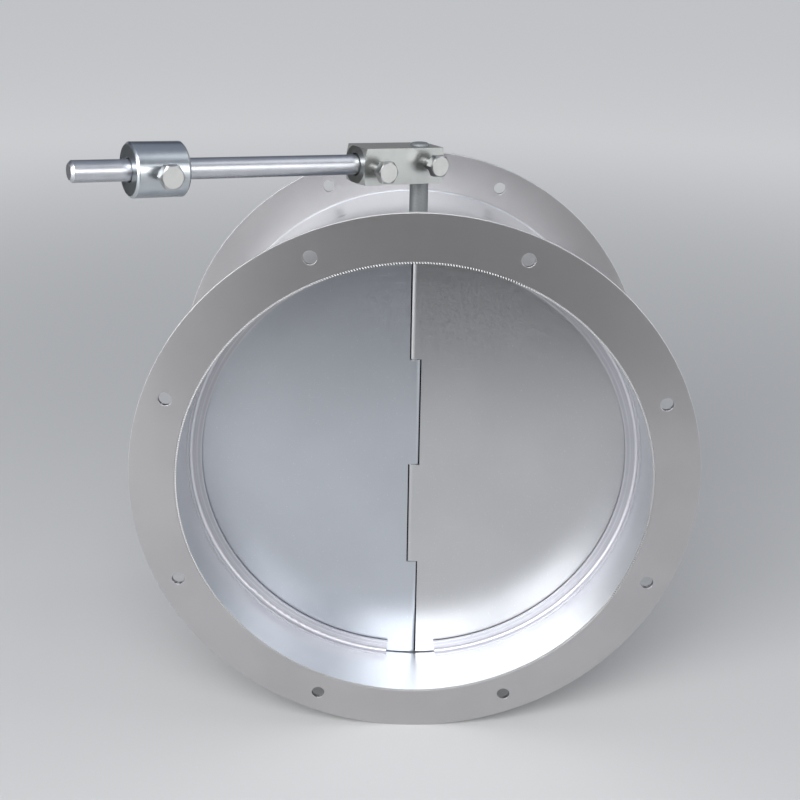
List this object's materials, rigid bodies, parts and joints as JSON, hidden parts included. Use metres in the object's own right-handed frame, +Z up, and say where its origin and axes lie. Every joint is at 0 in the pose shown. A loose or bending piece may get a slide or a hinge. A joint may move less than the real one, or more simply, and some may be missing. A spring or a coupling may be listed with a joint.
{
  "type": "duct non-return valve",
  "caption": "Flanged round duct non-return valve: interleaved half-disc leaves on one upright shaft, closed by a clamped lever with a sliding counterweight.",
  "frame": {"origin": "centre of the inlet flange's mating face, on the duct's axis", "axes": "+Y along the duct with the flow, +Z up along the shaft to the lever, +X to the right seen from the inlet"},
  "size_m": [0.3006, 0.2227, 0.3383],
  "materials": {
    "casing_sheet": "galvanised sheet, satin",
    "flange_sheet": "galvanised sheet, satin",
    "stop_sheet": "galvanised strip, rolled",
    "leaf_sheet": "galvanised sheet, smooth satin",
    "boss_steel": "turned and zinc plated",
    "bush_iron": "sintered iron, oiled",
    "washer_steel": "zinc plated washer",
    "spring_steel": "blackened spring steel",
    "shaft_steel": "drawn bar, satin zinc",
    "block_plate": "bright zinc plated bar",
    "rod_plate": "bright zinc plated bar",
    "weight_plate": "bright zinc plated turned bar",
    "bolt_plate": "bright zinc plated hexagon bolt"
  },
  "bodies": {
    "casing": {"body_shell": "casing_sheet", "inlet_flange": "flange_sheet", "outlet_flange": "flange_sheet", "right_stop": "stop_sheet", "left_stop": "stop_sheet", "upper_boss": "boss_steel", "lower_boss": "boss_steel", "upper_bush": "bush_iron", "lower_bush": "bush_iron"},
    "driven_shaft": {"shaft": "shaft_steel", "right_leaf": "leaf_sheet", "leaf_pins": "spring_steel", "upper_washer": "washer_steel", "lower_washer": "washer_steel", "upper_retaining_ring": "spring_steel", "lower_retaining_ring": "spring_steel"},
    "free_leaf": {"left_leaf": "leaf_sheet"},
    "lever": {"lever_block": "block_plate"},
    "rod": {"lever_rod": "rod_plate"},
    "weight": {"counterweight": "weight_plate"},
    "shaft_bolt": {"shaft_clamp_bolt": "bolt_plate"},
    "rod_bolt": {"rod_clamp_bolt": "bolt_plate"},
    "weight_bolt": {"weight_clamp_bolt": "bolt_plate"}
  },
  "joints": [
    {"name": "driven_leaf_swing", "type": "hinge", "parent": "casing", "child": "driven_shaft", "pos_m": [0, 0.041, 0], "axis": [0, 0, 1], "range_deg": [0, 85]},
    {"name": "free_leaf_swing", "type": "hinge", "parent": "casing", "child": "free_leaf", "pos_m": [0, 0.041, 0], "axis": [0, 0, 1], "range_deg": [-85, 0]},
    {"name": "lever_setting", "type": "hinge", "parent": "driven_shaft", "child": "lever", "pos_m": [0, 0.041, 0.1658], "axis": [0, 0, 1], "range_deg": [-180, 180]},
    {"name": "rod_setting", "type": "slide", "parent": "lever", "child": "rod", "axis": [-0.8423, -0.5345, 0.0698], "range_m": [-0.003, 0.013]},
    {"name": "counterweight_setting", "type": "slide", "parent": "rod", "child": "weight", "axis": [-0.8423, -0.5345, 0.0698], "range_m": [-0.084, 0.024]},
    {"name": "shaft_clamp_turn", "type": "hinge", "parent": "lever", "child": "shaft_bolt", "pos_m": [0.00007, 0.04104, 0.167], "axis": [0.5358, -0.8443, 0], "range_deg": [0, 360]},
    {"name": "rod_clamp_turn", "type": "hinge", "parent": "lever", "child": "rod_bolt", "pos_m": [-0.02509, 0.02508, 0.16667], "axis": [0.5358, -0.8443, 0], "range_deg": [0, 360]},
    {"name": "weight_clamp_turn", "type": "hinge", "parent": "weight", "child": "weight_bolt", "pos_m": [-0.11674, -0.03308, 0.17547], "axis": [0.5358, -0.8443, 0], "range_deg": [0, 360]}
  ]
}
